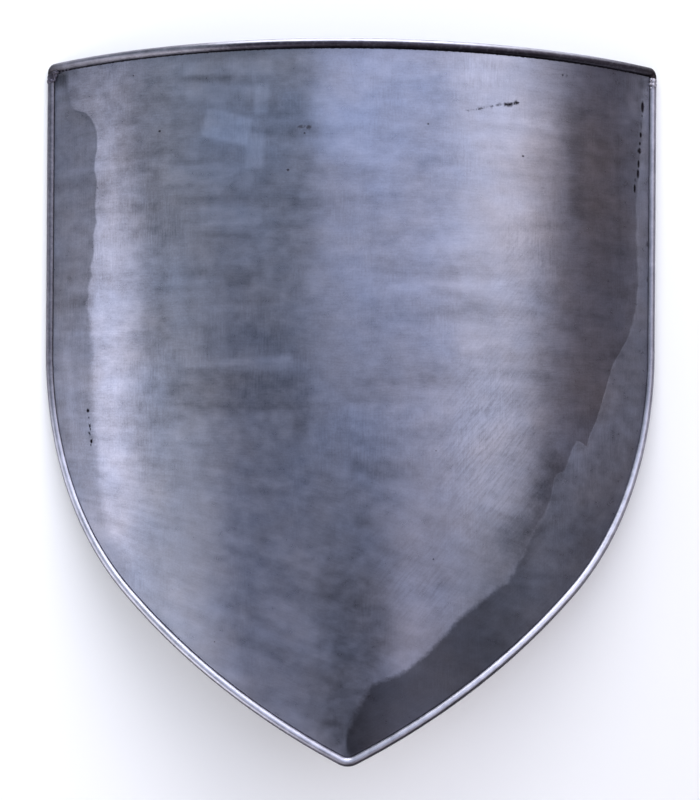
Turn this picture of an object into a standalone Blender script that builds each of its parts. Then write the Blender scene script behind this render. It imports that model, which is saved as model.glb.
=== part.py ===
# Heater shield: a steel sheet bent round its upright axis, with round bar along its edge.
# Metres, +Z up. It lies on its back: X is its width, +Y its top edge, +Z its bulging front.
# The origin is on the floor, under the middle of the shield's outer box.

import math

import bmesh
import bpy
from mathutils import Vector

# The sheet as it is cut, flat, before it is bent
SHEET_WIDTH = 0.584
SHEET_HEIGHT = 0.600
SHEET_THICKNESS = 0.0016
STRAIGHT_SIDE = 0.254  # from the sheet's top edge down each side
SIDE_RADIUS = 0.282  # where each side turns in towards the point
LOWER_RADIUS = 0.928  # the long, nearly straight run down to the point
TIP_RADIUS = 0.0085
CORNER_RADIUS = 0.0005

BEND_RADIUS = 0.452  # to the middle of the sheet's thickness

# Round bar along the sheet's edge: one length over the top, one down both sides
BAR_DIAMETER = 0.008
CORNER_LEG = 0.012  # from the top of the top bar to the ends that it turns down
CLEARANCE = 0.0003  # between the sheet and a bar, and between two bars

# Fineness of the faceted solids
STRIPS = 49  # flat strips across the bend, an odd number so that one lies in the middle
STEP = 0.011  # longest straight run along a bar or a curved edge
LARGEST_TURN = math.radians(12)  # largest angle between two runs of a tight curve
BAR_SIDES = 12

STEEL_COLOUR = (0.235, 0.245, 0.305, 1.0)
BAR_COLOUR = (0.190, 0.190, 0.230, 1.0)


def clear_scene():
    for obj in list(bpy.data.objects):
        bpy.data.objects.remove(obj, do_unlink=True)


def bare_steel(name, colour, roughness):
    material = bpy.data.materials.new(name)
    material.use_nodes = True
    shader = material.node_tree.nodes["Principled BSDF"]
    shader.inputs["Base Color"].default_value = colour
    shader.inputs["Metallic"].default_value = 1.0
    shader.inputs["Roughness"].default_value = roughness
    return material


def lower_centre():
    """Centre of the long lower curve, which runs on from the side's curve and into the tip's."""
    side = Vector((SHEET_WIDTH / 2 - SIDE_RADIUS, SHEET_HEIGHT / 2 - STRAIGHT_SIDE))
    tip = Vector((0, -SHEET_HEIGHT / 2 + TIP_RADIUS))
    from_side = LOWER_RADIUS - SIDE_RADIUS
    from_tip = LOWER_RADIUS - TIP_RADIUS
    apart = tip - side
    along = (from_side**2 - from_tip**2 + apart.length_squared) / (2 * apart.length)
    across = math.sqrt(from_side**2 - along**2)
    direction = apart.normalized()
    return side + along * direction + across * Vector((direction.y, -direction.x))


def half_outline_arcs():
    """The right half of the sheet's edge from the top down: each arc's centre, radius and two end angles."""
    half = SHEET_WIDTH / 2
    top = SHEET_HEIGHT / 2
    corner = Vector((half - CORNER_RADIUS, top - CORNER_RADIUS))
    side = Vector((half - SIDE_RADIUS, top - STRAIGHT_SIDE))
    lower = lower_centre()
    tip = Vector((0, -top + TIP_RADIUS))
    side_end = math.atan2(side.y - lower.y, side.x - lower.x)
    lower_end = math.atan2(tip.y - lower.y, tip.x - lower.x)
    return (
        (corner, CORNER_RADIUS, math.pi / 2, 0.0),
        (side, SIDE_RADIUS, 0.0, side_end),
        (lower, LOWER_RADIUS, side_end, lower_end),
        (tip, TIP_RADIUS, lower_end, -math.pi / 2),
    )


def arc_points(centre, radius, start, end):
    turn = abs(end - start)
    runs = math.ceil(max(turn * radius / STEP, turn / LARGEST_TURN))
    angles = [start + (end - start) * i / runs for i in range(runs + 1)]
    return [centre + radius * Vector((math.cos(a), math.sin(a))) for a in angles]


def half_outline(outset):
    """Points down the right half, outset from the sheet's edge, from its top corner to the point."""
    points = []
    for centre, radius, start, end in half_outline_arcs():
        for point in arc_points(centre, radius + outset, start, end):
            if not points or (point - points[-1]).length > STEP / 1000:
                points.append(point)
    return points


def mirrored(points):
    return [Vector((-p.x, p.y)) for p in points]


def divided(points):
    """The same path with points no further apart than STEP."""
    path = [points[0]]
    for start, end in zip(points, points[1:]):
        runs = math.ceil((end - start).length / STEP)
        path += [start.lerp(end, i / runs) for i in range(1, runs + 1)]
    return path


def bent(across, up, out):
    """Where a point of the flat shield goes once it is bent. It bends in flat strips, like the solid."""
    width = SHEET_WIDTH / STRIPS
    strip = math.floor(across / width + 0.5)
    edges = []
    for edge in (strip - 0.5, strip + 0.5):
        angle = edge * width / BEND_RADIUS
        reach = BEND_RADIUS + out
        edges.append(Vector((reach * math.sin(angle), up, reach * math.cos(angle))))
    return edges[0].lerp(edges[1], across / width + 0.5 - strip)


def make_sheet(parent):
    right = half_outline(0.0)
    edge = right + mirrored(right[:-1])[::-1]
    shape = bmesh.new()
    shape.faces.new([shape.verts.new((p.x, p.y, -SHEET_THICKNESS / 2)) for p in edge])
    width = SHEET_WIDTH / STRIPS
    for i in range(1, STRIPS):
        bmesh.ops.bisect_plane(
            shape,
            geom=shape.verts[:] + shape.edges[:] + shape.faces[:],
            dist=1e-7,
            plane_co=(i * width - SHEET_WIDTH / 2, 0, 0),
            plane_no=(1, 0, 0),
        )
    front = bmesh.ops.extrude_face_region(shape, geom=shape.faces[:])["geom"]
    for vertex in front:
        if isinstance(vertex, bmesh.types.BMVert):
            vertex.co.z = SHEET_THICKNESS / 2
    for vertex in shape.verts:
        vertex.co = bent(*vertex.co)
    bmesh.ops.recalc_face_normals(shape, faces=shape.faces[:])
    mesh = bpy.data.meshes.new("face_sheet")
    shape.to_mesh(mesh)
    shape.free()
    mesh.shade_smooth()
    mesh.set_sharp_from_angle(angle=math.radians(30))
    mesh.materials.append(bare_steel("brushed sheet steel", STEEL_COLOUR, 0.38))
    sheet = bpy.data.objects.new("face_sheet", mesh)
    sheet.parent = parent
    bpy.context.collection.objects.link(sheet)
    return sheet


def make_bar(name, path, parent, material):
    """A round bar bent along a flat path that is then bent with the sheet."""
    points = [bent(p.x, p.y, 0.0) for p in divided(path)]
    curve = bpy.data.curves.new(name, "CURVE")
    curve.dimensions = "3D"
    curve.bevel_depth = BAR_DIAMETER / 2
    curve.bevel_resolution = (BAR_SIDES - 4) // 2
    curve.use_fill_caps = True
    spline = curve.splines.new("POLY")
    spline.points.add(len(points) - 1)
    for vertex, point in zip(spline.points, points):
        vertex.co = (*point, 1.0)
    curve.materials.append(material)
    bar = bpy.data.objects.new(name, curve)
    bar.parent = parent
    bpy.context.collection.objects.link(bar)
    return bar


def bar_paths():
    """Flat centre lines of the top bar and of the side bar, which meet in the sides below the corners."""
    outset = CLEARANCE + BAR_DIAMETER / 2
    right = half_outline(outset)
    join = SHEET_HEIGHT / 2 + outset + BAR_DIAMETER / 2 - CORNER_LEG
    leg_end = Vector((right[0].x, join))
    leg_end.x = SHEET_WIDTH / 2 + outset
    above = [p for p in right if p.y > join] + [leg_end]
    below = [leg_end - Vector((0, CLEARANCE))] + [p for p in right if p.y < join - CLEARANCE]
    top_path = mirrored(above)[::-1] + above
    side_path = mirrored(below) + below[-2::-1]
    return top_path, side_path


def lowest_point(objects):
    graph = bpy.context.evaluated_depsgraph_get()
    heights = []
    for obj in objects:
        evaluated = obj.evaluated_get(graph)
        heights += [(obj.matrix_world @ v.co).z for v in evaluated.to_mesh().vertices]
        evaluated.to_mesh_clear()
    return min(heights)


def main():
    clear_scene()
    shield = bpy.data.objects.new("shield", None)
    bpy.context.collection.objects.link(shield)
    bar_steel = bare_steel("ground bar steel", BAR_COLOUR, 0.32)
    top_path, side_path = bar_paths()
    pieces = [
        make_sheet(shield),
        make_bar("top_edge_bar", top_path, shield, bar_steel),
        make_bar("side_edge_bar", side_path, shield, bar_steel),
    ]
    bpy.context.view_layer.update()
    shield.location.z = -lowest_point(pieces)


main()
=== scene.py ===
# Heater shield of bare steel, seen square on from the front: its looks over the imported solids.
# The sheet and its marks are laid out flat (across, up, out), in metres,
# and then bent round the upright axis.

import math

import bmesh
import bpy
import numpy as np
from mathutils import Matrix, Vector, kdtree, noise


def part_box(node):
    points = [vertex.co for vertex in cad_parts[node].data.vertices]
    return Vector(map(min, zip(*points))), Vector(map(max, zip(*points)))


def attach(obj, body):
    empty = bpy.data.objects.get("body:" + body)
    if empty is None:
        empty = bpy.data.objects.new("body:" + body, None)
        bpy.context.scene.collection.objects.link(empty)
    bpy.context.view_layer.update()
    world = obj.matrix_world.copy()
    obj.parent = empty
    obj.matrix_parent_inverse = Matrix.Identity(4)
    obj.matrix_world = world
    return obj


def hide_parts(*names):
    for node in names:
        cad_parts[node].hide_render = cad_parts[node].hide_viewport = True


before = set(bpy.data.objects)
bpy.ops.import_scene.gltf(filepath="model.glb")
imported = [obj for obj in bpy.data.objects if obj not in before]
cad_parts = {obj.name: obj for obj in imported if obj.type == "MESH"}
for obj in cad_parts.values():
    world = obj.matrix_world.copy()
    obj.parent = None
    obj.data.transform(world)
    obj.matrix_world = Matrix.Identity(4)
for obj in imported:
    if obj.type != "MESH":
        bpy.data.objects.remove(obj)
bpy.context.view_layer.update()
millimetre = 0.001


def linear(hexColour):
    # sRGB hex to linear, with alpha
    channels = [int(hexColour[i:i + 2], 16) / 255 for i in (1, 3, 5)]
    return (*[c / 12.92 if c <= 0.04045 else ((c + 0.055) / 1.055) ** 2.4 for c in channels], 1.0)


def addNode(tree, kind, inputs=(), **settings):
    # inputs are values, sockets, or nodes whose first output is linked: a row of them in the node's order,
    # or a dictionary of them by name or number
    node = tree.nodes.new(kind)
    for name, value in settings.items():
        setattr(node, name, value)
    if not isinstance(inputs, dict):
        inputs = dict(enumerate(inputs))
    for key, value in inputs.items():
        if isinstance(value, bpy.types.Node):
            value = value.outputs[0]
        if isinstance(value, bpy.types.NodeSocket):
            tree.links.new(value, node.inputs[key])
        else:
            node.inputs[key].default_value = value
    return node


def newMaterial(name):
    material = bpy.data.materials.new(name)
    material.use_nodes = True
    tree = material.node_tree
    return material, tree, tree.nodes["Principled BSDF"]


def addObject(name, data):
    made = bpy.data.objects.new(name, data)
    bpy.context.collection.objects.link(made)
    return made


def smoothStep(low, high, value):
    t = np.clip((value - low) / (high - low), 0, 1)
    return t * t * (3 - 2 * t)


# The sheet as it is cut, flat, and how it is bent
sheet = {
    "width": 0.584,
    "height": 0.600,
    "thickness": 0.0016,
    "straightSide": 0.254,
    "sideRadius": 0.282,
    "lowerRadius": 0.928,
    "tipRadius": 0.0085,
    "cornerRadius": 0.0005,
    "cornerRuns": 3,
    "tipRuns": 8,
    "bendRadius": 0.452,
    "frontCell": 0.0025,
    "backCell": 0.006,
    "edgeStep": 0.0025,
    "edgeSample": 0.0005,
    "edgeRounding": 0.0005,
    "frontRings": (0.0012, 0.0026),    # insets of the rings behind the rounding
    "backRings": (0, 0.0003, 0.0026),
    "backRounding": 0.0003,
    "clearEdge": 0.004,    # no finer cells this close to the sides
    "waviness": 0.00022,
    "waves": ((11, 9, 3.7, 1.0), (30, 26, 9.1, 0.35)),    # per metre across and up, seed, share
    "stillEdge": 0.03,    # the waves die out over this distance from the edge
    "sharpAngle": 50,
}
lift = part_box("face_sheet")[1].z - sheet["bendRadius"] - sheet["thickness"] / 2


def bent(points):
    # where points of the flat shield go once it is bent
    points = np.asarray(points, float)
    angle = points[:, 0] / sheet["bendRadius"]
    reach = sheet["bendRadius"] + points[:, 2]
    return np.column_stack((reach * np.sin(angle), points[:, 1], reach * np.cos(angle) + lift))


def lowerCentre():
    side = Vector((sheet["width"] / 2 - sheet["sideRadius"], sheet["height"] / 2 - sheet["straightSide"]))
    tip = Vector((0, -sheet["height"] / 2 + sheet["tipRadius"]))
    fromSide = sheet["lowerRadius"] - sheet["sideRadius"]
    fromTip = sheet["lowerRadius"] - sheet["tipRadius"]
    apart = tip - side
    along = (fromSide**2 - fromTip**2 + apart.length_squared) / (2 * apart.length)
    off = math.sqrt(fromSide**2 - along**2)
    direction = apart.normalized()
    return side + along * direction + off * Vector((direction.y, -direction.x))


def rightSide(inset):
    # points down the right side, from the top corner to the point, the same number for any inset
    half = sheet["width"] / 2
    top = sheet["height"] / 2
    cornerRadius = max(sheet["cornerRadius"] - inset, 0)
    cornerAway = max(sheet["cornerRadius"], inset)
    corner = Vector((half - cornerAway, top - cornerAway))
    side = Vector((half - sheet["sideRadius"], top - sheet["straightSide"]))
    lower = lowerCentre()
    tip = Vector((0, -top + sheet["tipRadius"]))
    sideEnd = math.atan2(side.y - lower.y, side.x - lower.x)
    lowerEnd = math.atan2(tip.y - lower.y, tip.x - lower.x)
    arcs = (
        (corner, cornerRadius, math.pi / 2, 0.0, sheet["cornerRuns"]),
        (side, sheet["sideRadius"] - inset, 0.0, sideEnd, None),
        (lower, sheet["lowerRadius"] - inset, sideEnd, lowerEnd, None),
        (tip, sheet["tipRadius"] - inset, lowerEnd, -math.pi / 2, sheet["tipRuns"]),
    )
    points = []
    for centre, radius, start, end, runs in arcs:
        runs = runs or math.ceil(abs(end - start) * (radius + inset) / sheet["edgeStep"] - 1e-6)
        angles = [start + (end - start) * i / runs for i in range(runs + 1)]
        arc = [centre + radius * Vector((math.cos(a), math.sin(a))) for a in angles]
        if len(points) == sheet["cornerRuns"] + 1:
            straight = math.ceil(sheet["straightSide"] / sheet["edgeStep"])
            points += [points[-1].lerp(arc[0], i / straight) for i in range(1, straight)]
            points += arc
        else:
            points += arc[1:] if points else arc
    return points


def mirrored(points):
    return [Vector((-p.x, p.y)) for p in points]


def edgeRing(inset):
    # the whole edge, clockwise from the top left corner as seen from the front
    right = rightSide(inset)
    left = mirrored(right[:-1])[::-1]
    across = math.ceil(sheet["width"] / sheet["edgeStep"])
    top = [left[-1].lerp(right[0], i / across) for i in range(1, across)]
    return top + right + left


def flatFace(insets, outs, cell):
    # flat layer of the sheet: rings along its edge, then square cells; its outer ring is numbered from 1
    shape = bmesh.new()
    order = shape.verts.layers.int.new("order")
    rings = []
    for inset, out in zip(insets, outs):
        ring = []
        for number, p in enumerate(edgeRing(inset)):
            if ring and (Vector((p.x, p.y)) - ring[-1].co.xy).length < 1e-7:
                ring.append(ring[-1])
            else:
                ring.append(shape.verts.new((p.x, p.y, out)))
            if not rings:
                ring[-1][order] = number + 1
        rings.append(ring)
    for outer, inner in zip(rings, rings[1:]):
        count = len(outer)
        for i in range(count):
            j = (i + 1) % count
            corners = []
            for vertex in (outer[i], inner[i], inner[j], outer[j]):
                if vertex not in corners:
                    corners.append(vertex)
            if len(corners) > 2:
                shape.faces.new(corners)
    core = []
    for vertex in rings[-1]:
        if not core or vertex != core[-1]:
            core.append(vertex)
    middle = shape.faces.new(core[::-1])
    strips = cutInStrips(shape, [middle], cell, 0, sheet["width"] / 2)
    cutInStrips(shape, strips, cell, 1, sheet["height"] / 2)
    return shape


def ringOf(shape):
    # indices of the outer ring's vertices, in order
    order = shape.verts.layers.int["order"]
    shape.verts.index_update()
    numbered = [(v[order], v.index) for v in shape.verts if v[order] > 0]
    return [index for _, index in sorted(numbered)]


def cutInStrips(shape, faces, cell, axis, reach):
    # cuts the faces by planes one cell apart, from the low end to the high end
    normal = [0, 0, 0]
    normal[axis] = 1
    finished = []
    rest = faces
    count = math.ceil(2 * reach / cell)
    for i in range(1, count):
        place = i * 2 * reach / count - reach
        point = [0, 0, 0]
        point[axis] = place
        edges = list({e for f in rest for e in f.edges})
        verts = list({v for f in rest for v in f.verts})
        result = bmesh.ops.bisect_plane(
            shape, geom=verts + edges + rest, dist=1e-6, plane_co=point, plane_no=normal
        )
        found = [g for g in result["geom"] if isinstance(g, bmesh.types.BMFace)]
        rest = []
        for face in found:
            (rest if face.calc_center_median()[axis] > place else finished).append(face)
    return finished + rest


def refineNear(shape, spots, reach, cuts):
    # finer cells round each spot (across, up), clear of the rings along the edge
    limit = sheet["width"] / 2 - sheet["clearEdge"]
    for across, up in spots:
        near = []
        for edge in shape.edges:
            middle = (edge.verts[0].co + edge.verts[1].co) / 2
            close = abs(middle.x - across) < reach[0] and abs(middle.y - up) < reach[1]
            if close and abs(middle.x) < limit:
                near.append(edge)
        if near:
            bmesh.ops.subdivide_edges(shape, edges=near, cuts=cuts, use_grid_fill=True)


# Marks on the front, in millimetres: (across, up, half width, half height, depth)
marks = {
    "pits": (
        (282.6, 271.0, 2.0, 4.8, 0.55), (282.0, 262.7, 0.9, 1.2, 0.15), (280.7, 254.3, 0.6, 4.6, 0.15),
        (280.3, 245.0, 1.5, 2.4, 0.40), (279.4, 237.0, 1.3, 1.5, 0.35), (279.0, 230.5, 2.4, 2.5, 0.60),
        (277.7, 218.5, 1.4, 3.4, 0.40), (277.2, 209.5, 1.7, 3.8, 0.50), (273.4, 203.5, 0.8, 1.8, 0.15),
        (273.0, 195.5, 1.4, 3.8, 0.40), (290.4, 146.0, 1.0, 2.4, 0.30), (290.5, 114.0, 0.9, 1.8, 0.30),
        (288.5, 287.0, 1.0, 1.3, 0.30), (-246.6, -9.0, 1.4, 1.5, 0.40), (-245.4, -15.2, 0.7, 0.9, 0.15),
        (-244.2, -22.8, 1.0, 1.4, 0.25), (-243.6, -25.6, 0.7, 1.2, 0.20), (-244.0, -29.4, 0.9, 0.9, 0.30),
        (-242.2, -36.4, 1.2, 1.7, 0.40), (-242.7, -39.6, 0.6, 1.0, 0.20),
        (-40.0, 228.0, 0.8, 0.8, 0.20), (-54.0, 197.0, 1.1, 0.9, 0.25), (-198.0, 286.0, 0.7, 0.7, 0.20),
        (-171.0, 235.0, 1.3, 0.8, 0.25), (65.0, 237.0, 0.8, 0.7, 0.20), (190.0, 288.0, 0.8, 0.8, 0.20),
        (194.0, 288.0, 0.7, 0.7, 0.20), (151.0, 214.0, 0.9, 0.7, 0.20), (-237.0, 190.0, 0.7, 0.6, 0.15),
        (72.0, -133.0, 0.8, 0.7, 0.20), (-42.5, 233.5, 3.2, 1.2, 0.10), (-36.5, 233.0, 2.2, 1.6, 0.12),
    ),
    # a gouge: ends (across, up), half width, depth
    "gouge": ((99.0, 250.2), (146.0, 260.2), 0.85, 0.22),
    # how far the finer cells reach round each, in metres
    "pitReach": (0.0032, 0.0050),
    "pitCuts": 3,
    "gougeReach": (0.0022, 0.0022),
    "gougeCuts": 2,
}

# Inner boundary of the strip ground with a disc along each side, in millimetres (across, up)
groundStrip = {
    "right": (
        (283, 298), (283, 250), (279, 215), (275, 180), (277, 140), (279, 110), (274, 80), (266, 60),
        (257, 48), (247, 35), (241, 18), (236, 5), (229, -14), (222, -26), (218, -38), (214, -35),
        (208, -33), (203, -38), (199, -49), (194, -60), (189, -60), (184, -66), (182, -76), (179, -87),
        (174, -98), (167, -106), (160, -117), (154, -131), (147, -139), (139, -154), (129, -159),
        (120, -166), (107, -175), (96, -183), (84, -196), (66, -214), (46, -229), (30, -235),
        (20, -238), (12, -252), (4, -268), (-2, -282), (-6, -290),
    ),
    "left": (
        (-277, 298), (-275, 283), (-272, 272), (-269, 264), (-262, 261), (-252, 258), (-246, 253),
        (-241, 246), (-238, 236), (-238, 226), (-241, 214), (-241, 205), (-238, 196), (-239, 184),
        (-240, 172), (-238, 160), (-242, 148), (-241, 132), (-245, 120), (-243, 112), (-248, 103),
        (-247, 94), (-251, 85), (-246, 77), (-245, 64), (-244, 52), (-243, 42), (-243, 28), (-243, 0),
        (-239, -35), (-234, -66), (-230, -94), (-222, -116), (-209, -132), (-193, -154), (-168, -183),
        (-129, -222), (-93, -254), (-49, -282), (-6, -290),
    ),
    # (up, lighter or darker: partly the ground finish, partly painted shade of its darker reflection,
    # softness of the boundary in millimetres), from the bottom to the top
    "rightShades": (
        (-300, -0.50, 4.0), (-250, -0.55, 4.0), (-220, -0.58, 3.0), (-160, -0.53, 3.5), (-115, -0.48, 3.0),
        (-70, -0.34, 1.6), (-20, -0.22, 1.4), (50, -0.20, 1.6), (80, -0.10, 5.0), (298, 0.0, 5.0),
    ),
    "leftShades": (
        (-300, 0.0, 9.0), (-120, -0.05, 9.0), (-20, -0.15, 6.0), (50, -0.25, 5.0), (85, -0.32, 2.0),
        (140, -0.34, 1.2), (200, -0.30, 1.2), (298, -0.14, 1.2),
    ),
}

# Strokes of the hand sander, with painted highlight and painted shade in the broad ones, in millimetres:
# across, up, half length, half height, tilt, softness, amount
strokesAndPaintedLight = (
    (-108, 286, 40, 6, -1, 3, 0.11), (-127, 278, 25, 2.5, -4, 2, -0.10), (-112, 264, 33, 8, -4, 3, 0.09),
    (-77, 258, 6, 13, -2, 2.5, 0.17), (-108, 235, 21, 12, -14, 2, 0.19), (-83, 214, 8, 15, -2, 2.5, 0.17),
    (-150, 207, 21, 2, -3, 2, -0.09), (-127, 195, 44, 8, -2, 3, 0.09), (-130, 175, 43, 2, -3, 2, -0.08),
    (5, 174, 54, 2.5, 3, 2, -0.05), (-104, 159, 28, 8, -1, 2.5, 0.11), (-112, 143, 26, 2.5, -3, 2, -0.08),
    (-108, 124, 24, 9, -1, 3, 0.04), (-96, 103, 11, 5, -1, 3, -0.08), (-55, 242, 22, 14, -1, 4, -0.06),
    (-5, 249, 23, 37, 4, 6, 0.04), (-6, 209, 24, 7, 3, 3, 0.05), (-4, 191, 68, 12, -2, 5, -0.03),
    (-31, 103, 6, 13, -10, 6, 0.09), (30, 129, 43, 3.5, -1, 3, 0.04), (55, 113, 39, 6, -6, 3, -0.05),
    (65, 101, 71, 6.5, 0, 4, 0.04), (82, 79, 46, 6.5, -5, 4, -0.06), (117, 50, 23, 3, 7, 3, 0.06),
    (-92, 53, 36, 12, -1, 6, -0.08), (-97, 34, 48, 2.4, 4, 2.5, 0.10), (-97, 12, 66, 16, -1, 6, -0.09),
    (-99, -4, 58, 1.8, -1, 1.5, -0.05),
    (-74, 12, 38, 11, 0, 5, -0.04), (-97, -21, 49, 12, 1, 4, 0.05), (-42, -19, 7, 11, 0, 3.5, -0.10),
    (-30, -28, 3, 7, 0, 3.5, 0.06), (-100, -84, 31, 5, -5, 3.5, 0.05), (-2, -72, 60, 7, -17, 5, -0.05),
    (11, -101, 8, 5, 0, 3.5, -0.10), (-46, -129, 26, 8, -24, 4, 0.08), (-49, -185, 28, 10, -39, 5, 0.10),
    (10, -122, 37, 8, -19, 5, -0.06), (8, -181, 43, 24, -83, 9, -0.06), (55, -170, 11, 29, -1, 10, 0.05),
    (45, -222, 17, 12, 10, 5, 0.09), (91, -164, 30, 8, 36, 5, 0.04), (206, 212, 50, 8, -90, 5, -0.08),
    (252, 47, 8, 7, 1, 4, -0.09), (184, -54, 8, 20, 32, 7, -0.10), (132, -35, 31, 6, 6, 5, -0.03),
    (-214, 133, 26, 14, -7, 5, 0.07), (-214, 77, 27, 18, -1, 5, 0.09), (-207, 29, 26, 24, 0, 7, 0.05),
    (-171, 129, 105, 7, -87, 6, -0.04), (-212, 204, 22, 13, -13, 5, 0.04), (-193, -72, 31, 15, -39, 8, 0.04),
    (-90, -168, 20, 11, -28, 6, -0.05), (60, 29, 40, 5, -2, 5, -0.03), (114, 14, 50, 6, 14, 5, 0.03),
    (-107, -233, 22, 6, -13, 3, 0.06), (-41, -271, 26, 7, -28, 3.5, 0.07), (-271, 94, 21, 15, -48, 7, -0.05),
    (-269, 13, 37, 5, -80, 3.5, 0.07), (253, 183, 60, 3, -88, 2.5, -0.07), (269, 271, 11, 5, -73, 3, 0.12),
    (244, 15, 14, 6, -56, 3.5, 0.06), (214, -41, 14, 6, 39, 3.5, 0.07), (189, -72, 8, 5, 55, 3, 0.10),
    (173, -101, 15, 5, 49, 3, 0.06), (126, 291, 28, 9, 7, 5, 0.05), (55, 285, 37, 8, 0, 5, 0.03),
    (156, 241, 28, 24, 7, 8, 0.04), (142, 176, 19, 18, 3, 7, 0.03), (-285, 292, 9, 7, 0, 5, -0.30),
    # painted highlight and painted shade: these broad ones brighten and darken the shine in the lower right,
    # beside the ground strip
    (135, -48, 42, 42, 20, 22, 0.06), (105, -152, 45, 34, 35, 22, -0.06),
    (166, -88, 48, 15, 62, 12, -0.17), (150, -120, 50, 26, 50, 20, -0.05),
    (-279, 297, 18, 3, 0, 3, -0.14), (286, 294, 6, 5, 0, 4, -0.20), (-12, -272, 10, 2.5, -5, 3, -0.10),
)

# Fainter strokes between them, in millimetres and degrees, placed at random
faintStrokes = {
    "seed": 11,
    "count": 330,
    "up": (-280, 295),
    "across": (-270, 270),
    "halfLength": (10, 42),
    "halfHeight": (3.0, 9.0),
    "softness": (1.5, 4.0),
    "tilt": (-2, 3),    # mean and spread
    "amount": (0, 0.026),    # mean and spread
    "slantBelow": -60,
    "slant": 16,
}

# How much the strokes' lighter and darker, painted highlight and shade among them, counts in the steel's own
# colour
strokeAndPaintedLightGain = 2.0

# Where the steel is more worn, so that its blotches stand out more: (across, amount),
# and less so lower down: (up, amount)
wornAcross = ((-292, 1.2), (-230, 1.6), (-190, 1.4), (-140, 0.9), (120, 0.9), (170, 1.2), (292, 1.0))
wornUp = ((-300, 0.7), (-120, 0.7), (-20, 1.0), (300, 1.0))

# Patches with fine lines that rise to the right: across, up, half width, half height, amount
hatchPatches = ((125, -35, 60, 95, 1.0), (150, 110, 40, 70, 0.5), (60, -150, 50, 60, 0.5))

# Where the steel looks bluer (+) or browner (-): across, up, half width, half height, amount
tintPatches = (
    (-75, 235, 70, 60, 0.55), (30, 240, 60, 60, 0.45), (-190, 200, 50, 110, -0.25), (150, 160, 50, 90, -0.35),
    (230, 200, 35, 90, -0.70), (225, 20, 40, 60, -0.45), (90, -40, 60, 60, -0.20), (0, -60, 70, 80, 0.25),
    (-110, 20, 60, 30, -0.30), (60, 90, 60, 40, 0.20), (-60, -170, 70, 60, 0.10),
)


def signedDistance(points, polygon):
    # distance of each point from the closed polygon's edge, positive inside
    best = np.full(len(points), 1e9)
    inside = np.zeros(len(points), bool)
    x, y = points[:, 0], points[:, 1]
    for a, b in zip(polygon, np.roll(polygon, -1, axis=0)):
        run = b - a
        t = np.clip(((points - a) @ run) / max(run @ run, 1e-12), 0, 1)
        away = points - a - t[:, None] * run
        best = np.minimum(best, np.hypot(away[:, 0], away[:, 1]))
        if a[1] != b[1]:
            crosses = (a[1] > y) != (b[1] > y)
            inside ^= crosses & (x < (b[0] - a[0]) * (y - a[1]) / (b[1] - a[1]) + a[0])
    return np.where(inside, best, -best)


def stripDistance(flat):
    # each boundary is closed by a loop outside the sheet
    right = np.array([*groundStrip["right"], (40, -340), (340, -340), (340, 320), (283, 320)], float)
    left = np.array([*groundStrip["left"], (0, -340), (-340, -340), (-340, 320), (-277, 320)], float)
    points = flat[:, :2] / millimetre
    return np.maximum(signedDistance(points, right), signedDistance(points, left)) * millimetre


def stripShade(flat):
    # how much lighter or darker the ground strip is, partly its finish and partly painted shade, and how soft
    # its boundary is, at each height
    up = flat[:, 1] / millimetre
    sides = []
    for name in ("leftShades", "rightShades"):
        heights, shades, softness = zip(*groundStrip[name])
        sides.append((np.interp(up, heights, shades), np.interp(up, heights, softness) * millimetre))
    isRight = flat[:, 0] > 0
    return np.where(isRight, sides[1][0], sides[0][0]), np.where(isRight, sides[1][1], sides[0][1])


def strokeAndPaintedLightTone(flat):
    # how much lighter or darker each point is from the sander's strokes and the painted highlight and shade
    # among them
    points = flat[:, :2] / millimetre
    total = np.zeros(len(points))
    random = np.random.default_rng(faintStrokes["seed"])
    strokes = list(strokesAndPaintedLight)
    for _ in range(faintStrokes["count"]):
        up = random.uniform(*faintStrokes["up"])
        tilt = random.normal(*faintStrokes["tilt"])
        if up < faintStrokes["slantBelow"]:
            tilt -= faintStrokes["slant"]
        across, length, height = [
            random.uniform(*faintStrokes[name]) for name in ("across", "halfLength", "halfHeight")
        ]
        soft = random.uniform(*faintStrokes["softness"])
        strokes.append((across, up, length, height, tilt, soft, random.normal(*faintStrokes["amount"])))
    for across, up, length, height, tilt, soft, amount in strokes:
        turn = math.radians(tilt)
        x = (points[:, 0] - across) * math.cos(turn) + (points[:, 1] - up) * math.sin(turn)
        y = (points[:, 1] - up) * math.cos(turn) - (points[:, 0] - across) * math.sin(turn)
        within = smoothStep(-1, 1, (length - abs(x)) / soft) * smoothStep(-1, 1, (height - abs(y)) / soft)
        total += amount * within
    return total * strokeAndPaintedLightGain


def softPatches(flat, patches):
    # sum of soft round patches: across, up, half width, half height, amount
    points = flat[:, :2] / millimetre
    total = np.zeros(len(points))
    for across, up, width, height, amount in patches:
        near = np.hypot((points[:, 0] - across) / width, (points[:, 1] - up) / height)
        total += amount * (1 - smoothStep(0.2, 1.3, near))
    return total


# The seam's dirt and painted shade are dark along the top and down the sides, and nearly gone along the lower
# edges:
# (up, amount)
seamDark = ((-300, 0.25), (-60, 0.35), (60, 0.85), (300, 1.0))

# The brush lines run level high up, and slant down to the right lower down: fall per run,
# and the heights in metres between which they turn
brushSlant = (0.36, -0.13, -0.01)


def amountAt(place, table):
    # value at each place, in metres, from a table of (millimetres, value)
    return np.interp(place / millimetre, *zip(*table))


def brushPlace(flat):
    steepness, low, high = brushSlant
    slant = steepness * (1 - smoothStep(low, high, flat[:, 1]))
    return np.column_stack((flat[:, 0], flat[:, 1] + slant * flat[:, 0], flat[:, 2]))


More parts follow.
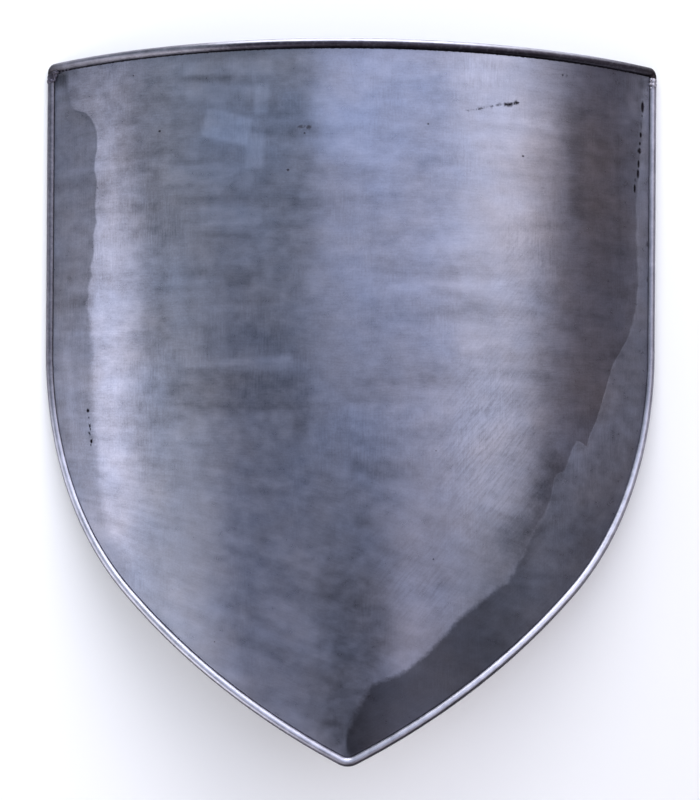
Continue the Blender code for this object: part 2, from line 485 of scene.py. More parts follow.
def alongEdge(flat):
    # run down the nearer side from its top corner, distance from that side, direction away from it,
    # and distance from the nearest edge of any kind
    right = np.array([(p.x, p.y) for p in rightSide(0.0)])
    dense = []
    for a, b in zip(right, right[1:]):
        steps = max(1, math.ceil(np.hypot(*(b - a)) / sheet["edgeSample"]))
        dense += [a + (b - a) * i / steps for i in range(steps)]
    dense = np.array(dense + [right[-1]])
    runs = np.concatenate(([0], np.cumsum(np.hypot(*np.diff(dense, axis=0).T))))
    heading = np.gradient(dense, axis=0)
    heading /= np.hypot(heading[:, 0], heading[:, 1])[:, None]
    tree = kdtree.KDTree(len(dense))
    for i, (x, y) in enumerate(dense):
        tree.insert((x, y, 0), i)
    tree.balance()
    run, away, inward = [], [], []
    for x, y in flat[:, :2]:
        _, index, distance = tree.find((abs(x), y, 0))
        side = 1 if x >= 0 else -1
        run.append(runs[index] * side)
        away.append(distance)
        inward.append((heading[index][1] * side, -heading[index][0]))
    fromTop = sheet["height"] / 2 - flat[:, 1]
    return np.array(run), np.array(away), np.array(inward), np.minimum(away, np.maximum(fromTop, 0))


def pitDepth(flat):
    # depth of the pits and the gouge at each point, and how dark they make it with dirt and painted shade
    points = flat[:, :2] / millimetre
    depth = np.zeros(len(points))
    dark = np.zeros(len(points))
    for across, up, width, height, deep in marks["pits"]:
        near = np.hypot((points[:, 0] - across) / width, (points[:, 1] - up) / height)
        depth = np.maximum(depth, deep * (1 - smoothStep(0.2, 1.0, near)))
        dark = np.maximum(dark, (1 - smoothStep(0.75, 1.35, near)) * min(1, 0.45 + deep * 1.6))
    start, end, width, deep = marks["gouge"]
    start, end = np.array(start), np.array(end)
    run = end - start
    t = np.clip(((points - start) @ run) / (run @ run), 0, 1)
    away = points - start - t[:, None] * run
    near = np.hypot(away[:, 0], away[:, 1] + 0.5 * np.sin(t * 9)) / (width * (0.45 + 0.75 * t))
    depth = np.maximum(depth, deep * (1 - smoothStep(0.2, 1.0, near)) * (0.4 + 0.6 * t))
    broken = 0.55 + 0.45 * np.sin(t * 31 + 2 * np.sin(t * 12))
    dark = np.maximum(dark, (1 - smoothStep(0.6, 1.5, near)) * np.where(t > 0.72, 0.95, 0.65 * broken))
    return depth * millimetre, dark


def makeFace():
    rounding = sheet["edgeRounding"]
    frontInsets = (0, 0.2 * rounding, 0.5 * rounding, rounding, *sheet["frontRings"])
    frontOuts = [
        sheet["thickness"] / 2 - rounding + math.sqrt(max(0, rounding**2 - (rounding - min(i, rounding))**2))
        for i in frontInsets
    ]
    front = flatFace(frontInsets, frontOuts, sheet["frontCell"])
    spots = [(a * millimetre, u * millimetre) for a, u, *_ in marks["pits"]]
    refineNear(front, spots, marks["pitReach"], marks["pitCuts"])
    start, end = [np.array(p) * millimetre for p in marks["gouge"][:2]]
    gouge = [start + (end - start) * t for t in np.linspace(0, 1, 13)]
    refineNear(front, gouge, marks["gougeReach"], marks["gougeCuts"])
    backOuts = [-sheet["thickness"] / 2 + o for o in (sheet["backRounding"], 0, 0)]
    back = flatFace(sheet["backRings"], backOuts, sheet["backCell"])
    bmesh.ops.reverse_faces(back, faces=back.faces[:])
    frontRing = ringOf(front)
    backRing = ringOf(back)
    verts = [v.co.copy() for v in front.verts] + [v.co.copy() for v in back.verts]
    offset = len(front.verts)
    faces = [[v.index for v in f.verts] for f in front.faces]
    faces += [[v.index + offset for v in f.verts] for f in back.faces]
    for i in range(len(frontRing)):
        j = (i + 1) % len(frontRing)
        corners = [frontRing[i], frontRing[j], backRing[j] + offset, backRing[i] + offset]
        if len(set(corners)) > 2:
            faces.append(list(dict.fromkeys(corners)))
    front.free()
    back.free()
    flat = np.array([tuple(v) for v in verts])
    run, away, inward, seam = alongEdge(flat)
    depth, dark = pitDepth(flat)
    isFront = flat[:, 2] > 0
    wave = np.zeros(len(flat))
    for across, up, seed, share in sheet["waves"]:
        wave += [share * noise.noise(Vector((x * across, y * up, seed))) for x, y in flat[:, :2]]
    placed = flat.copy()
    placed[:, 2] += wave * sheet["waviness"] * smoothStep(0, sheet["stillEdge"], seam)
    placed[:, 2] -= np.where(isFront, depth, 0)
    mesh = bpy.data.meshes.new("shieldFace")
    mesh.from_pydata([tuple(p) for p in bent(placed)], [], faces)
    angle = flat[:, 0] / sheet["bendRadius"]
    grain = np.column_stack((inward[:, 0] * np.cos(angle), inward[:, 1], -inward[:, 0] * np.sin(angle)))
    edge = np.column_stack((run, away, np.zeros(len(run))))
    shade, softness = stripShade(flat)
    places = {"flat": flat, "edge": edge, "grain": grain, "brush": brushPlace(flat)}
    for name, values in places.items():
        addVectors(mesh, name, values)
    amounts = {
        "strip": stripDistance(flat) / softness,
        "stripShade": shade,
        "tint": softPatches(flat, tintPatches),
        "worn": amountAt(flat[:, 0], wornAcross) * amountAt(flat[:, 1], wornUp),
        "hatch": softPatches(flat, hatchPatches),
        "seamDark": amountAt(flat[:, 1], seamDark),
        "seam": seam,
        "tone": np.where(isFront, strokeAndPaintedLightTone(flat), 0),
        "pit": np.where(isFront, dark, 0),
    }
    for name, values in amounts.items():
        addFloats(mesh, name, values)
    mesh.shade_smooth()
    mesh.set_sharp_from_angle(angle=math.radians(sheet["sharpAngle"]))
    mesh.validate()
    return addObject("shieldFace", mesh)


def addVectors(mesh, name, values):
    attribute = mesh.attributes.new(name, "FLOAT_VECTOR", "POINT")
    attribute.data.foreach_set("vector", np.asarray(values, np.float32).ravel())


def addFloats(mesh, name, values):
    attribute = mesh.attributes.new(name, "FLOAT", "POINT")
    attribute.data.foreach_set("value", np.asarray(values, np.float32))


# Bare mild steel sheet, brushed across by hand in short overlapping strokes,
# with a strip ground along its sides
faceSteel = {
    "blueColour": "#788198",
    "brownColour": "#868288",
    # dark colour of the dirt and painted shade in the seam and pits, and of the specks
    "dirtAndShadeColour": "#1d1820",
    "roughness": 0.30,
    "dirtAndShadeRoughness": 0.7,
    "anisotropy": 0.85,
    "brushDepth": 0.00002,
    "brushStrength": 0.3,
    "hatchTurn": -50,
    # what each pattern lies on, its size in millimetres (across, up), detail and roughness
    "patterns": {
        "hatch": ("turned", 16.67, 2.381, 4.0, 0.7),    # flecks that rise to the right
        "fine": ("brush", 11.11, 1.111, 3.0, 0.6),    # brush lines
        "cross": ("flat", 1.429, 16.67, 3.0, 0.6),    # fainter lines up and down
        "here": ("flat", 76.92, 90.91, 3.0, 0.6),    # where each kind of line shows
        "grit": ("flat", 1.667, 1.667, 2.0, 0.7),    # the grit's own marks, coarser than real, so they show
        "broad": ("brush", 62.5, 11.76, 3.0, 0.55),    # strokes
        "mottle": ("flat", 13.33, 10.53, 4.0, 0.6),    # blotches
        "cloud": ("flat", 45.45, 35.71, 3.0, 0.55),    # handling marks
        "hue": ("flat", 71.43, 62.5, 3.0, 0.6),    # bluer and browner areas
        "ground": ("edge", 33.33, 1.429, 3.0, 0.6),    # lines along the ground strip
        "ragged": ("flat", 4.348, 4.348, 3.0, 0.65),    # teeth of the strip's boundary
        "seamDirtAndShade": ("edge", 16.67, 3.333, 3.0, 0.7),    # dirt and painted shade that thicken the seam
    },
    # how much each of these lightens and darkens the steel
    "shades": {
        "fine": 0.09, "ground": 0.08, "cross": 0.16, "grit": 0.10,
        "broad": 0.12, "mottle": 0.15, "cloud": 0.11,
    },
    # what else is read from a pattern: its name, from low, from high, to low, to high
    "levels": {
        "flecks": ("hatch", 0.42, 0.72, 0.08, -0.30),
        "linesHere": ("here", 0.62, 0.38, 0.35, 1.0),
        "crossHere": ("here", 0.46, 0.66, 0.1, 1.0),
        "raggedness": ("ragged", 0.3, 0.7, -0.4, 0.4),
        "blueness": ("hue", 0.3, 0.7, 0.32, 0.68),
        "dirtAndShadeReach": ("seamDirtAndShade", 0.35, 0.7, -0.0003, 0.0006),
        "dullness": ("mottle", 0.25, 0.75, -0.04, 0.04),
    },
    "tintStrength": 0.5,
    "seamWidth": (0.0001, 0.0007),
    # dark specks: spacing in millimetres, share of places left clean, largest size, softness, darkness
    "specks": (10.526, 0.90, 0.065, 0.02, 0.6),
}


def makeFaceSteel():
    # half shiny, so it shows broad soft glows of the studio, broken by blotches, strokes and dark specks
    material, tree, shader = newMaterial("hand brushed mild steel sheet")
    parts = {}
    for name in ("flat", "edge", "grain", "brush"):
        parts[name] = addNode(tree, "ShaderNodeAttribute", attribute_name=name).outputs["Vector"]
    for name in ("strip", "stripShade", "seam", "seamDark", "tone", "tint", "pit", "hatch", "worn"):
        parts[name] = addNode(tree, "ShaderNodeAttribute", attribute_name=name).outputs["Fac"]
    turn = {"Vector": parts["flat"], "Angle": math.radians(faceSteel["hatchTurn"])}
    parts["turned"] = addNode(tree, "ShaderNodeVectorRotate", turn)
    patterns = {}
    for name, (place, across, up, detail, rough) in faceSteel["patterns"].items():
        scales = (1000 / across, 1000 / up, 1)
        stretched = addNode(tree, "ShaderNodeVectorMath", (parts[place], scales), operation="MULTIPLY")
        values = {"Vector": stretched, "Scale": 1.0, "Detail": detail, "Roughness": rough}
        patterns[name] = addNode(tree, "ShaderNodeTexNoise", values)
    levels = {name: (name, 0.25, 0.75, -amount, amount) for name, amount in faceSteel["shades"].items()}
    levels.update(faceSteel["levels"])
    for name, (pattern, *ends) in levels.items():
        parts[name] = addNode(tree, "ShaderNodeMapRange", (patterns[pattern], *ends))

    # 1 in the strip that was ground along the edge, 0 beyond its ragged boundary
    mask = addNode(tree, "ShaderNodeMath", (parts["strip"], parts["raggedness"]), operation="ADD")
    mask = addNode(tree, "ShaderNodeMapRange", (mask, -1.0), interpolation_type="SMOOTHSTEP")
    lines = {0: mask, 2: parts["fine"], 3: parts["ground"]}
    parts["mask"] = mask
    parts["lines"] = addNode(tree, "ShaderNodeMix", lines, data_type="FLOAT")
    # each line makes a part from others: lines and blotches as worn as each place is, the sander's strokes
    # with their painted highlight and shade, the flecks and the ground strip with its painted shade together
    # give the shade
    for name, operation, *used in (
        ("lines", "MULTIPLY", "lines", "linesHere"),
        ("uneven", "MULTIPLY_ADD", "cross", "crossHere", "lines"),
        ("uneven", "ADD", "uneven", "grit"),
        ("uneven", "ADD", "uneven", "broad"),
        ("uneven", "ADD", "uneven", "mottle"),
        ("uneven", "ADD", "uneven", "cloud"),
        ("shade", "MULTIPLY_ADD", "uneven", "worn", "tone"),
        ("shade", "MULTIPLY_ADD", "flecks", "hatch", "shade"),
        ("shade", "ADD", "shade", 1.0),
        # the ground strip's finish, with its painted shade
        ("stripFactor", "MULTIPLY_ADD", "mask", "stripShade", 1.0),
        ("shade", "MULTIPLY", "shade", "stripFactor"),
        ("blueness", "MULTIPLY_ADD", "tint", faceSteel["tintStrength"], "blueness"),
        ("seamReach", "SUBTRACT", "seam", "dirtAndShadeReach"),
        ("roughness", "ADD", "dullness", faceSteel["roughness"]),
    ):
        values = [parts.get(value, value) for value in used]
        parts[name] = addNode(tree, "ShaderNodeMath", values, operation=operation)
    colours = {0: parts["blueness"], 6: linear(faceSteel["brownColour"]), 7: linear(faceSteel["blueColour"])}
    colour = addNode(tree, "ShaderNodeMix", colours, data_type="RGBA").outputs[2]
    shaded = {0: colour, "Scale": parts["shade"]}
    shaded = addNode(tree, "ShaderNodeVectorMath", shaded, operation="SCALE")

    # painted shade and dirt in the seam and in the pits, and dirt in specks
    seamDarkening = (parts["seamReach"], *faceSteel["seamWidth"], 1.0, 0.0)
    seamDarkening = addNode(tree, "ShaderNodeMapRange", seamDarkening, interpolation_type="SMOOTHSTEP")
    seamDarkening = addNode(tree, "ShaderNodeMath", (seamDarkening, parts["seamDark"]), operation="MULTIPLY")
    dirtAndShade = addNode(tree, "ShaderNodeMath", (seamDarkening, parts["pit"]), operation="MAXIMUM")
    spacing, clean, largest, soft, darkness = faceSteel["specks"]
    cells = {"Vector": parts["flat"], "Scale": 1000 / spacing}
    cells = addNode(tree, "ShaderNodeTexVoronoi", cells, feature="F1")
    chosen = addNode(tree, "ShaderNodeSeparateColor", (cells.outputs["Color"],))
    size = addNode(tree, "ShaderNodeMapRange", (chosen, clean, 1.0, 0.0, largest))
    speck = addNode(tree, "ShaderNodeMath", (size, cells.outputs["Distance"]), operation="SUBTRACT")
    speck = (speck, -soft, soft, 0.0, darkness)
    speck = addNode(tree, "ShaderNodeMapRange", speck, interpolation_type="SMOOTHSTEP")
    dirtAndShade = addNode(tree, "ShaderNodeMath", (dirtAndShade, speck), operation="MAXIMUM")
    final = {0: dirtAndShade, 6: shaded, 7: linear(faceSteel["dirtAndShadeColour"])}
    final = addNode(tree, "ShaderNodeMix", final, data_type="RGBA")
    tree.links.new(final.outputs[2], shader.inputs["Base Color"])

    shader.inputs["Metallic"].default_value = 1.0
    rough = {0: dirtAndShade, 2: parts["roughness"], 3: faceSteel["dirtAndShadeRoughness"]}
    rough = addNode(tree, "ShaderNodeMix", rough, data_type="FLOAT")
    tree.links.new(rough.outputs[0], shader.inputs["Roughness"])
    shader.inputs["Anisotropic"].default_value = faceSteel["anisotropy"]
    # the shine spreads up and down across the brush lines, and square to the edge in the strip
    spread = {0: mask, 4: (0.0, 1.0, 0.0), 5: parts["grain"]}
    spread = addNode(tree, "ShaderNodeMix", spread, data_type="VECTOR")
    tree.links.new(spread.outputs[1], shader.inputs["Tangent"])
    height = {0: mask, 2: patterns["fine"], 3: patterns["ground"]}
    height = addNode(tree, "ShaderNodeMix", height, data_type="FLOAT")
    bump = {"Height": height, "Strength": faceSteel["brushStrength"], "Distance": faceSteel["brushDepth"]}
    tree.links.new(addNode(tree, "ShaderNodeBump", bump).outputs[0], shader.inputs["Normal"])
    return material


faceMaterial = makeFaceSteel()
shieldFace = makeFace()
shieldFace.data.materials.append(faceMaterial)
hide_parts("face_sheet")
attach(shieldFace, "root")
print("sheet done:", len(shieldFace.data.polygons), "faces")


# Round bars along the edge, swept along their bent centre lines
bars = {
    "diameter": 0.008,
    "gap": 0.0003,
    "cornerLeg": 0.012,
    "sides": 28,
    "step": 0.002,
    "turnPoints": 13,    # round each top corner
    "endClearance": 0.001,
    "wobble": 0.012,
    "waverScale": 70.0,    # wavers per metre, so each is 14 mm long
    "rippleLength": 0.0021,
}


def flatPath(points, step):
    # the same flat path with points no further apart than step
    path = [points[0]]
    for start, end in zip(points, points[1:]):
        runs = max(1, math.ceil((end - start).length / step))
        path += [start.lerp(end, i / runs) for i in range(1, runs + 1)]
    return path


def barPaths():
    outset = bars["gap"] + bars["diameter"] / 2
    half = sheet["width"] / 2
    top = sheet["height"] / 2
    corner = Vector((half - sheet["cornerRadius"], top - sheet["cornerRadius"]))
    radius = sheet["cornerRadius"] + outset
    turn = [
        corner + radius * Vector((math.cos(a), math.sin(a)))
        for a in np.linspace(math.pi / 2, 0, bars["turnPoints"])
    ]
    join = top + outset + bars["diameter"] / 2 - bars["cornerLeg"]
    above = turn + [Vector((half + outset, join))]
    below = [Vector((half + outset, join - bars["gap"]))]
    below += [p for p in rightSide(-outset) if p.y < join - bars["gap"] - bars["endClearance"]]
    return mirrored(above)[::-1] + above, mirrored(below) + below[-2::-1]


def newCurve(name, points):
    curve = bpy.data.curves.new(name, "CURVE")
    curve.dimensions = "3D"
    spline = curve.splines.new("POLY")
    spline.points.add(len(points) - 1)
    for vertex, point in zip(spline.points, points):
        vertex.co = (*point, 1.0)
    return addObject(name, curve)


def meshFromNodes(source, tree, values):
    # runs the node tree on the source object and returns a plain mesh object of the same name
    modifier = source.modifiers.new("build", "NODES")
    modifier.node_group = tree
    for item in tree.interface.items_tree:
        if item.item_type == "SOCKET" and item.in_out == "INPUT" and item.name in values:
            modifier[item.identifier] = values[item.name]
    graph = bpy.context.evaluated_depsgraph_get()
    mesh = bpy.data.meshes.new_from_object(source.evaluated_get(graph), depsgraph=graph)
    name = source.name
    source.modifiers.remove(modifier)
    bpy.data.objects.remove(source)
    mesh.name = name
    return addObject(name, mesh)


def sweepTree():
    # sweeps a round section along the curve; its radius wavers a little, as ground bar does
    tree = bpy.data.node_groups.new("sweptBar", "GeometryNodeTree")
    sockets = {
        "Geometry": "NodeSocketGeometry", "Radius": "NodeSocketFloat", "Wobble": "NodeSocketFloat",
        "Ripple": "NodeSocketFloat", "Sides": "NodeSocketInt", "Material": "NodeSocketMaterial",
    }
    for name, kind in sockets.items():
        tree.interface.new_socket(name, in_out="INPUT", socket_type=kind)
    tree.interface.new_socket("Geometry", in_out="OUTPUT", socket_type="NodeSocketGeometry")
    given = addNode(tree, "NodeGroupInput")
    length = addNode(tree, "GeometryNodeSplineParameter").outputs["Length"]
    run = addNode(tree, "ShaderNodeCombineXYZ", {"X": length})
    waver = addNode(tree, "ShaderNodeTexNoise", {"Vector": run, "Scale": bars["waverScale"], "Detail": 2.0})
    waver = addNode(tree, "ShaderNodeMath", (waver, 0.5), operation="SUBTRACT")
    waver = addNode(tree, "ShaderNodeMath", (waver, given.outputs["Wobble"]), operation="MULTIPLY")
    ripple = addNode(tree, "ShaderNodeMath", (length, bars["rippleLength"]), operation="DIVIDE")
    ripple = addNode(tree, "ShaderNodeMath", (ripple,), operation="FRACT")
    ripple = addNode(tree, "ShaderNodeMath", (ripple, given.outputs["Ripple"]), operation="MULTIPLY")
    factor = addNode(tree, "ShaderNodeMath", (waver, 1.0), operation="ADD")
    factor = addNode(tree, "ShaderNodeMath", (factor, ripple), operation="SUBTRACT")
    stored = {"Geometry": given.outputs["Geometry"], "Name": "run", "Value": length}
    stored = addNode(tree, "GeometryNodeStoreNamedAttribute", stored, data_type="FLOAT", domain="POINT")
    profile = {"Resolution": given.outputs["Sides"], "Radius": given.outputs["Radius"]}
    profile = addNode(tree, "GeometryNodeCurvePrimitiveCircle", profile, mode="RADIUS")
    swept = {"Curve": stored, "Profile Curve": profile, "Scale": factor, "Fill Caps": True}
    swept = addNode(tree, "GeometryNodeCurveToMesh", swept)
    smooth = addNode(tree, "GeometryNodeSetShadeSmooth", {"Geometry": swept})
    plain = addNode(tree, "GeometryNodeRealizeInstances", {"Geometry": smooth})
    covered = {"Geometry": plain, "Material": given.outputs["Material"]}
    addNode(tree, "NodeGroupOutput", (addNode(tree, "GeometryNodeSetMaterial", covered),))
    return tree


# Bare round bar: ground bright where the disc reached it, with dark mill scale left on the rest;
# the bright and dark colours also paint a highlight and shade across each bar, by which way each side faces
barSteel = {
    "colour": "#b2b2bf",
    "scaleAndShadeColour": "#3d3942",
    "heatColour": "#2a2427",
    "roughness": 0.40,
    "patchSize": 11.11,    # millimetres, of the darker and lighter patches
    "lineSize": 2.857,    # millimetres, of the grinding marks
    "heatReach": {"topBar": 0.030, "sideBar": 0.010},    # how far the ends are darkened
}


def scaleAndShadeShare(name, placed):
    # how much scale is left at each point of a bar, with painted shade on the side turned from the light and
    # painted highlight where it is low, from its place: (across, up) and -1 inside to 1 outside
    out = placed[:, 2] - lift
    across = np.arctan2(placed[:, 0], out) * sheet["bendRadius"]
    flat = np.column_stack((across, placed[:, 1], np.zeros(len(placed))))
    _, away, _, _ = alongEdge(flat)
    centre = bars["gap"] + bars["diameter"] / 2
    if name == "topBar":
        outer = (flat[:, 1] - sheet["height"] / 2 - centre) / (bars["diameter"] / 2)
        left = 0.52 + 0.26 * (1 - smoothStep(-0.7, 0.1, outer))
        right = 1 - 0.95 * smoothStep(0.10, 0.45, outer)
        share = smoothStep(-0.155, -0.085, across)
        dulled = smoothStep(0.16, 0.29, across)
        return left * (1 - share) + np.maximum(right, dulled * 0.95) * share
    outer = (away - centre) / (bars["diameter"] / 2)
    low = 1 - smoothStep(-0.08, 0.05, placed[:, 1])
    leftHigh = (1 - smoothStep(-0.01, 0.01, across)) * smoothStep(-0.06, 0.0, placed[:, 1])
    high = 0.44 + 0.30 * smoothStep(0.2, 0.8, outer) + 0.32 * leftHigh
    lower = 0.92 * smoothStep(0.0, 0.55, outer)
    return np.clip(high * (1 - low) + lower * low, 0, 1)


def makeBarSteel(name, heatReach, length):
    # dull soft highlights where it is ground, almost none on the scale
    material, tree, shader = newMaterial(name)
    run = addNode(tree, "ShaderNodeAttribute", attribute_name="run").outputs["Fac"]
    share = addNode(tree, "ShaderNodeAttribute", attribute_name="scaleAndShade").outputs["Fac"]
    place = addNode(tree, "ShaderNodeTexCoord").outputs["Object"]
    patches = {"Vector": place, "Scale": 1000 / barSteel["patchSize"], "Detail": 4.0, "Roughness": 0.65}
    patches = addNode(tree, "ShaderNodeTexNoise", patches)
    lines = {"Vector": place, "Scale": 1000 / barSteel["lineSize"], "Detail": 2.0, "Roughness": 0.6}
    lines = addNode(tree, "ShaderNodeTexNoise", lines)
    patchShade, lineShade, raggedShare, rough = [
        addNode(tree, "ShaderNodeMapRange", (pattern, 0.3, 0.7, low, high))
        for pattern, low, high in (
            (patches, 0.78, 1.2), (lines, -0.08, 0.08), (lines, -0.1, 0.1),
            (patches, barSteel["roughness"] - 0.05, barSteel["roughness"] + 0.07),
        )
    ]
    toEnd = addNode(tree, "ShaderNodeMath", (length, run), operation="SUBTRACT")
    toEnd = addNode(tree, "ShaderNodeMath", (run, toEnd), operation="MINIMUM")
    heat = (toEnd, 0.0, heatReach, 0.9, 0.0)
    heat = addNode(tree, "ShaderNodeMapRange", heat, interpolation_type="SMOOTHSTEP")
    shade = addNode(tree, "ShaderNodeMath", (patchShade, lineShade), operation="ADD")
    share = addNode(tree, "ShaderNodeMath", (share, raggedShare), operation="ADD")
    # the scale share also paints the bar's highlight and shade
    colours = {0: share, 6: linear(barSteel["colour"]), 7: linear(barSteel["scaleAndShadeColour"])}
    colour = addNode(tree, "ShaderNodeMix", colours, data_type="RGBA").outputs[2]
    colours = {0: heat, 6: colour, 7: linear(barSteel["heatColour"])}
    colour = addNode(tree, "ShaderNodeMix", colours, data_type="RGBA").outputs[2]
    shaded = addNode(tree, "ShaderNodeVectorMath", {0: colour, "Scale": shade}, operation="SCALE")
    tree.links.new(shaded.outputs[0], shader.inputs["Base Color"])
    shader.inputs["Metallic"].default_value = 1.0
    tree.links.new(rough.outputs[0], shader.inputs["Roughness"])
    return material


def makeBars():
    tree = sweepTree()
    topPath, sidePath = barPaths()
    made = []
    for name, node, path in (("topBar", "top_edge_bar", topPath), ("sideBar", "side_edge_bar", sidePath)):
        points = flatPath(path, bars["step"])
        flat = np.array([(p.x, p.y, 0.0) for p in points])
        length = sum((b - a).length for a, b in zip(points, points[1:]))
        material = makeBarSteel(name + " ground mild steel bar", barSteel["heatReach"][name], length)
        values = {
            "Radius": bars["diameter"] / 2, "Wobble": bars["wobble"], "Ripple": 0.0,
            "Sides": bars["sides"], "Material": material,
        }
        bar = meshFromNodes(newCurve(name, bent(flat)), tree, values)
        bar.data.set_sharp_from_angle(angle=math.radians(sheet["sharpAngle"]))
        placed = np.array([tuple(v.co) for v in bar.data.vertices])
        addFloats(bar.data, "scaleAndShade", scaleAndShadeShare(name, placed))
        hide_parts(node)
        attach(bar, "root")
        made.append(bar)
    return tree, made


barTree, barPieces = makeBars()
print("bars done:", [len(b.data.polygons) for b in barPieces])


# Weld bead along the seam, on the back
backWeld = {
    "inset": 0.0004,
    "behind": 0.0019,
    "radius": 0.0017,
    "step": 0.0007,
    "wobble": 0.5,
    "ripple": 0.22,
    "sides": 12,
    "colour": "#77767d",
    "darkColour": "#3d3a3d",
    "roughness": 0.45,
}
weldPatch = 5.263    # millimetres, of the darker and lighter patches on weld metal


def makeWeldSteel(name, colour, darkColour, roughness):
    # blotched, and duller than the bar beside it
    material, tree, shader = newMaterial(name)
    place = addNode(tree, "ShaderNodeTexCoord").outputs["Object"]
    patches = {"Vector": place, "Scale": 1000 / weldPatch, "Detail": 4.0, "Roughness": 0.65}
    patches = addNode(tree, "ShaderNodeTexNoise", patches)
    share = addNode(tree, "ShaderNodeMapRange", (patches, 0.35, 0.65))
    tint = {0: share, 6: linear(colour), 7: linear(darkColour)}
    tint = addNode(tree, "ShaderNodeMix", tint, data_type="RGBA")
    tree.links.new(tint.outputs[2], shader.inputs["Base Color"])
    shader.inputs["Metallic"].default_value = 0.85
    rough = addNode(tree, "ShaderNodeMapRange", (patches, 0.3, 0.7, roughness - 0.1, roughness + 0.1))
    tree.links.new(rough.outputs[0], shader.inputs["Roughness"])
    return material


def makeBackWeld():
    ring = edgeRing(backWeld["inset"])
    points = flatPath(ring + [ring[0]], backWeld["step"])
    flat = np.array([(p.x, p.y, -backWeld["behind"]) for p in points])
    # mild steel weld metal, left as laid
    material = makeWeldSteel(
        "mild steel weld bead", backWeld["colour"], backWeld["darkColour"], backWeld["roughness"]
    )
    values = {
        "Radius": backWeld["radius"], "Wobble": backWeld["wobble"], "Ripple": backWeld["ripple"],
        "Sides": backWeld["sides"], "Material": material,
    }
    weld = meshFromNodes(newCurve("backWeld", bent(flat)), barTree, values)
    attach(weld, "root")
    return weld


backWeldPiece = makeBackWeld()
print("back weld done:", len(backWeldPiece.data.polygons))


# Welds at the two top corners, in millimetres: blobs (across, up, out, radius)
cornerWelds = {
    "left": (
        (-296.0, 296.2, 0.6, 4.25), (-293.6, 298.6, 1.0, 3.2), (-291.0, 299.6, 1.3, 2.5),
        (-288.2, 300.2, 1.5, 2.1), (-291.0, 296.6, 0.8, 2.0), (-291.8, 293.4, 0.9, 1.8),
        (-285.8, 299.6, 1.2, 1.5), (-296.4, 292.6, 0.8, 4.05), (-288.8, 297.6, 0.5, 1.2),
        (-281.6, 300.2, 1.0, 1.4), (-277.4, 300.4, 0.9, 1.1), (-272.8, 300.4, 0.8, 1.2),
    ),
    "right": (
        (296.2, 296.2, 0.4, 4.15), (293.2, 297.2, 1.4, 1.9), (292.6, 293.0, 1.2, 1.6),
        (296.4, 292.6, 0.4, 4.05), (293.6, 289.8, 1.0, 1.4),
    ),
    "cell": 0.00035,
    "lumps": (420, 900),    # per metre, the finer ones half as high
}


def makeCornerWeld(name, blobs, roughening, material):
    shape = bmesh.new()
    for across, up, out, radius in blobs:
        place = Matrix.Translation((across * millimetre, up * millimetre, out * millimetre))
        bmesh.ops.create_icosphere(shape, subdivisions=4, radius=radius * millimetre, matrix=place)
    mesh = bpy.data.meshes.new(name)
    shape.to_mesh(mesh)
    shape.free()
    lump = addObject(name, mesh)
    remesh = lump.modifiers.new("join", "REMESH")
    remesh.mode = "VOXEL"
    remesh.voxel_size = cornerWelds["cell"]
    graph = bpy.context.evaluated_depsgraph_get()
    joined = bpy.data.meshes.new_from_object(lump.evaluated_get(graph), depsgraph=graph)
    lump.modifiers.remove(remesh)
    lump.data = joined
    co = np.array([tuple(v.co) for v in joined.vertices])
    normals = np.array([tuple(v.normal) for v in joined.vertices])
    coarse, fine = cornerWelds["lumps"]
    amount = np.array([noise.noise(Vector(p) * coarse) + 0.5 * noise.noise(Vector(p) * fine) for p in co])
    placed = bent(co + normals * (amount * roughening)[:, None])
    joined.vertices.foreach_set("co", placed.astype(np.float32).ravel())
    joined.update()
    joined.shade_smooth()
    joined.materials.append(material)
    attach(lump, "root")
    return lump


# blued and smoke stained weld metal on the left; dressed bright on the right
burntWeld = makeWeldSteel("smoke stained weld metal", "#5f5b68", "#28252d", 0.45)
dressedWeld = makeWeldSteel("dressed weld metal", "#b3b1bd", "#4a4549", 0.35)
cornerPieces = [
    makeCornerWeld("cornerWeldLeft", cornerWelds["left"], 0.00022, burntWeld),
    makeCornerWeld("cornerWeldRight", cornerWelds["right"], 0.00015, dressedWeld),
]
print("corner welds done:", [len(p.data.polygons) for p in cornerPieces])


